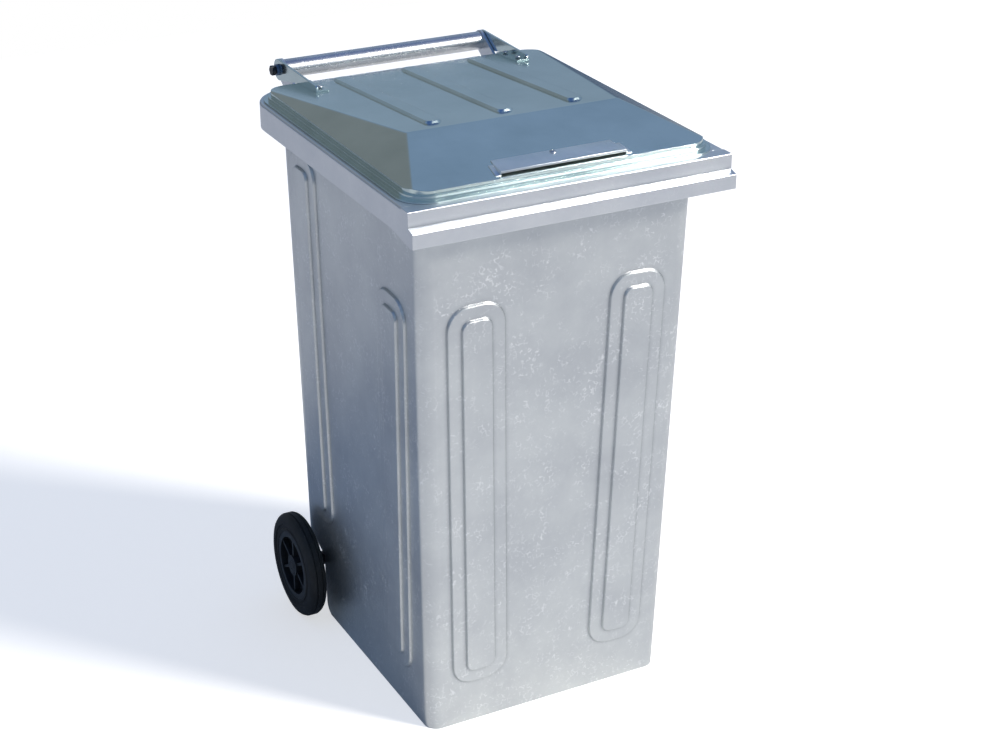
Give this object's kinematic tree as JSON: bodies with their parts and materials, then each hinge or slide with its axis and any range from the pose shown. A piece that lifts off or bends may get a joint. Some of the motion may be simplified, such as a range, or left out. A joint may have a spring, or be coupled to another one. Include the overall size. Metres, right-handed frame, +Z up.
{
  "type": "wheeled refuse bin",
  "caption": "Tall galvanised steel bin on wheels with tapered beaded walls, stepped front lip, rear handle tube and a hinged hipped lid.",
  "frame": {"origin": "on the ground, under the middle of the closed bin's bounding box", "axes": "+Z up; the front lip faces -Y and the handle and wheels are towards +Y; +X is to the right seen from the front"},
  "size_m": [0.58, 0.7411, 1.0516],
  "materials": {
    "galvanised_body": "hot-dip galvanised sheet, satin with fine spangle",
    "galvanised_rim": "hot-dip galvanised plate, satin",
    "galvanised_lid": "hot-dip galvanised pressing, smooth satin",
    "galvanised_tube": "galvanised tube, polished by handling",
    "zinc_plated_steel": "zinc plated",
    "black_bolt": "black finished steel, satin",
    "black_plastic": "moulded black polypropylene, matte",
    "tyre_rubber": "solid black rubber, matte"
  },
  "bodies": {
    "bin": {"body_wrapper": "galvanised_body", "rear_panel": "galvanised_body", "floor_pan": "galvanised_body", "rim_frame": "galvanised_rim", "front_lip": "galvanised_rim", "handle_tube": "galvanised_tube", "left_handle_ear": "galvanised_rim", "right_handle_ear": "galvanised_rim", "left_axle_bracket": "galvanised_body", "right_axle_bracket": "galvanised_body", "tube_plugs": "black_plastic", "hinge_bushes": "black_plastic", "hinge_bolts": "black_bolt", "axle": "zinc_plated_steel", "axle_spacers": "black_plastic", "axle_clips": "zinc_plated_steel"},
    "lid": {"lid_panel": "galvanised_lid", "lid_grip": "galvanised_lid", "lid_rivets": "zinc_plated_steel", "left_lid_arm": "galvanised_lid", "right_lid_arm": "galvanised_lid"},
    "left_wheel": {"left_tyre": "tyre_rubber", "left_wheel_hub": "black_plastic", "left_hub_cap": "black_plastic"},
    "right_wheel": {"right_tyre": "tyre_rubber", "right_wheel_hub": "black_plastic", "right_hub_cap": "black_plastic"}
  },
  "joints": [
    {"name": "lid_hinge", "type": "hinge", "parent": "bin", "child": "lid", "pos_m": [0, 0.35155, 1.017], "axis": [-1, 0, 0], "range_deg": [0, 270]},
    {"name": "left_wheel_spin", "type": "hinge", "parent": "bin", "child": "left_wheel", "pos_m": [-0.272, 0.19005, 0.1], "axis": [1, 0, 0], "continuous": true},
    {"name": "right_wheel_spin", "type": "hinge", "parent": "bin", "child": "right_wheel", "pos_m": [0.272, 0.19005, 0.1], "axis": [1, 0, 0], "continuous": true}
  ]
}
